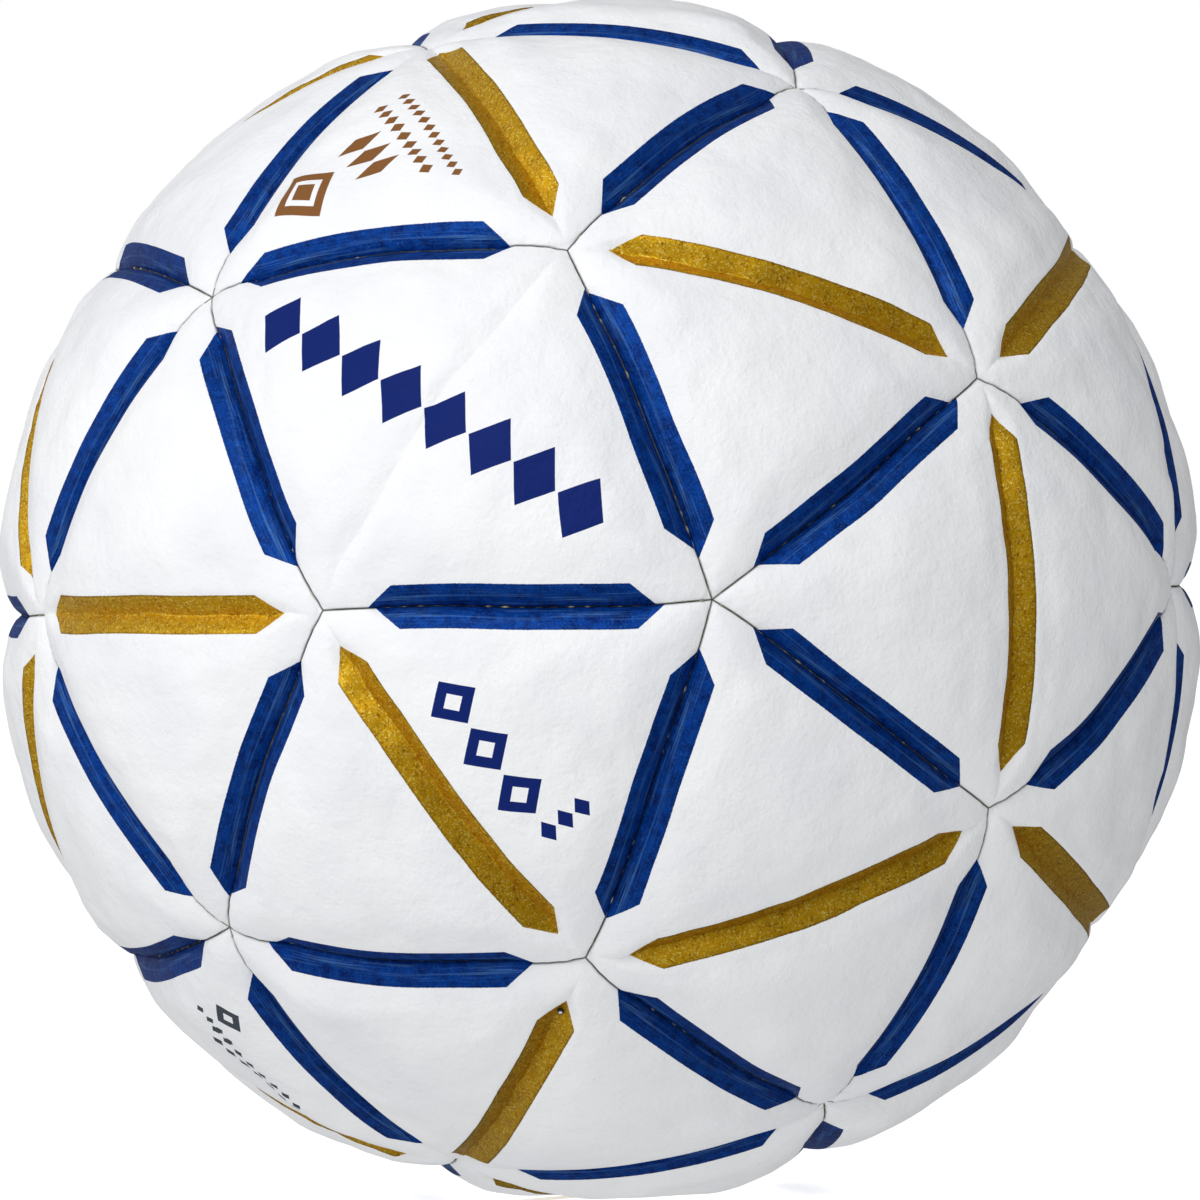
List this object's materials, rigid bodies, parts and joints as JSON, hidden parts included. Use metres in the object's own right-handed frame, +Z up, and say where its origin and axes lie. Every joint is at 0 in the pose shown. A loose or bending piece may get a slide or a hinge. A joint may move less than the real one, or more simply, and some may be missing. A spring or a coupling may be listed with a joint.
{
  "type": "handball",
  "caption": "Inflatable hand-sized game ball with stitched, foam-backed rhombic cover panels, pressed grooves, air bladder and needle valve.",
  "frame": {"origin": "centre of the ball", "axes": "+Z up through the middle of the top panel, opposite the panel that the ball stands on; X runs along the groove of both panels; the valve is low on the -X, -Y side"},
  "size_m": [0.166, 0.166, 0.1657],
  "materials": {
    "cover": "matte white synthetic leather with printed stripes",
    "thread": "waxed cream polyester thread",
    "bladder": "smooth black butyl rubber",
    "valve": "moulded dark rubber",
    "valve_core": "soft self-sealing rubber",
    "patch": "matte rubber sheet"
  },
  "bodies": {
    "root": {"cover_panel_01": "cover", "cover_panel_02": "cover", "cover_panel_03": "cover", "cover_panel_04": "cover", "cover_panel_05": "cover", "cover_panel_06": "cover", "cover_panel_07": "cover", "cover_panel_08": "cover", "cover_panel_09": "cover", "cover_panel_10": "cover", "cover_panel_11": "cover", "cover_panel_12": "cover", "cover_panel_13": "cover", "cover_panel_14": "cover", "cover_panel_15": "cover", "cover_panel_16": "cover", "cover_panel_17": "cover", "cover_panel_18": "cover", "cover_panel_19": "cover", "cover_panel_20": "cover", "cover_panel_21": "cover", "cover_panel_22": "cover", "cover_panel_23": "cover", "cover_panel_24": "cover", "cover_panel_25": "cover", "cover_panel_26": "cover", "base_panel": "cover", "valve_panel": "cover", "plain_panel_1": "cover", "plain_panel_2": "cover", "seam_thread_01": "thread", "seam_thread_02": "thread", "seam_thread_03": "thread", "seam_thread_04": "thread", "seam_thread_05": "thread", "seam_thread_06": "thread", "seam_thread_07": "thread", "seam_thread_08": "thread", "seam_thread_09": "thread", "seam_thread_10": "thread", "seam_thread_11": "thread", "seam_thread_12": "thread", "bladder": "bladder", "valve_body": "valve", "valve_core": "valve_core", "balance_patch": "patch"}
  },
  "joints": []
}
